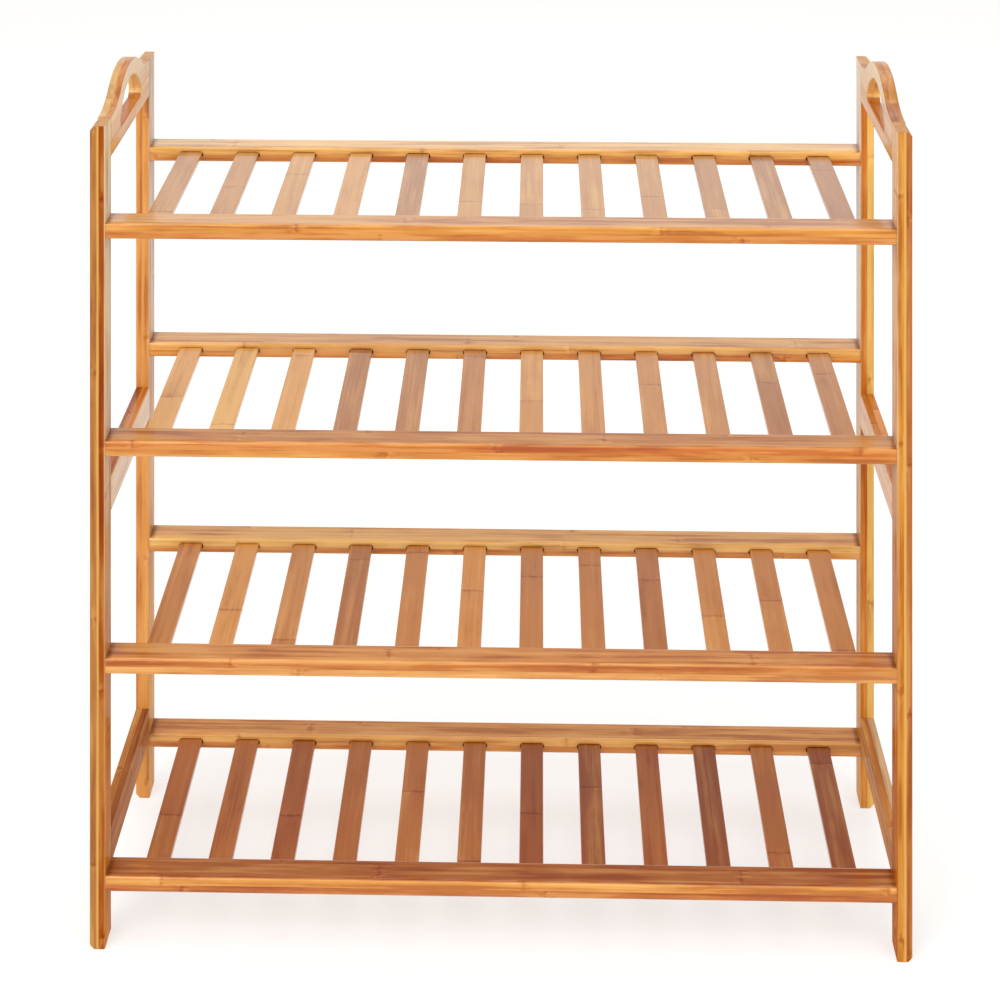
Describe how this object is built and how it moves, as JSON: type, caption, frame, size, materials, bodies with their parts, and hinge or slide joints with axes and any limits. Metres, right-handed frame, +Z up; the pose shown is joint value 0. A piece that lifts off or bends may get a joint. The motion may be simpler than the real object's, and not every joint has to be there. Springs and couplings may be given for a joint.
{
  "type": "tiered shoe rack",
  "caption": "Free-standing bamboo shoe rack: side frames with arched handle panels and hand slots, joined by slatted shelves whose slats are let into rounded rails.",
  "frame": {"origin": "on the floor, in the middle of the footprint of the four posts", "axes": "+X to the rack's right seen from the front, +Y to its back, +Z up"},
  "size_m": [0.7, 0.26, 0.727],
  "materials": {
    "bamboo_frame": "glossy clear lacquer",
    "bamboo_panel": "glossy clear lacquer",
    "bamboo_rail": "glossy clear lacquer",
    "bamboo_slat": "satin clear lacquer",
    "dowel_wood": "plain",
    "bolt_steel": "zinc plated"
  },
  "bodies": {
    "root": {"front_left_post": "bamboo_frame", "front_right_post": "bamboo_frame", "back_left_post": "bamboo_frame", "back_right_post": "bamboo_frame", "left_lower_rail": "bamboo_frame", "left_middle_rail": "bamboo_frame", "left_handle_panel": "bamboo_panel", "right_lower_rail": "bamboo_frame", "right_middle_rail": "bamboo_frame", "right_handle_panel": "bamboo_panel", "shelf_1_front_rail": "bamboo_rail", "shelf_1_back_rail": "bamboo_rail", "shelf_1_slats_1_2": "bamboo_slat", "shelf_1_slats_3_4": "bamboo_slat", "shelf_1_slats_5_6": "bamboo_slat", "shelf_1_slats_7_8": "bamboo_slat", "shelf_1_slats_9_10": "bamboo_slat", "shelf_1_slats_11_12": "bamboo_slat", "shelf_2_front_rail": "bamboo_rail", "shelf_2_back_rail": "bamboo_rail", "shelf_2_slats_1_2": "bamboo_slat", "shelf_2_slats_3_4": "bamboo_slat", "shelf_2_slats_5_6": "bamboo_slat", "shelf_2_slats_7_8": "bamboo_slat", "shelf_2_slats_9_10": "bamboo_slat", "shelf_2_slats_11_12": "bamboo_slat", "shelf_3_front_rail": "bamboo_rail", "shelf_3_back_rail": "bamboo_rail", "shelf_3_slats_1_2": "bamboo_slat", "shelf_3_slats_3_4": "bamboo_slat", "shelf_3_slats_5_6": "bamboo_slat", "shelf_3_slats_7_8": "bamboo_slat", "shelf_3_slats_9_10": "bamboo_slat", "shelf_3_slats_11_12": "bamboo_slat", "shelf_4_front_rail": "bamboo_rail", "shelf_4_back_rail": "bamboo_rail", "shelf_4_slats_1_2": "bamboo_slat", "shelf_4_slats_3_4": "bamboo_slat", "shelf_4_slats_5_6": "bamboo_slat", "shelf_4_slats_7_8": "bamboo_slat", "shelf_4_slats_9_10": "bamboo_slat", "shelf_4_slats_11_12": "bamboo_slat", "shelf_bolts": "bolt_steel", "barrel_nuts": "bolt_steel", "shelf_dowels": "dowel_wood", "frame_dowels": "dowel_wood"}
  },
  "joints": []
}
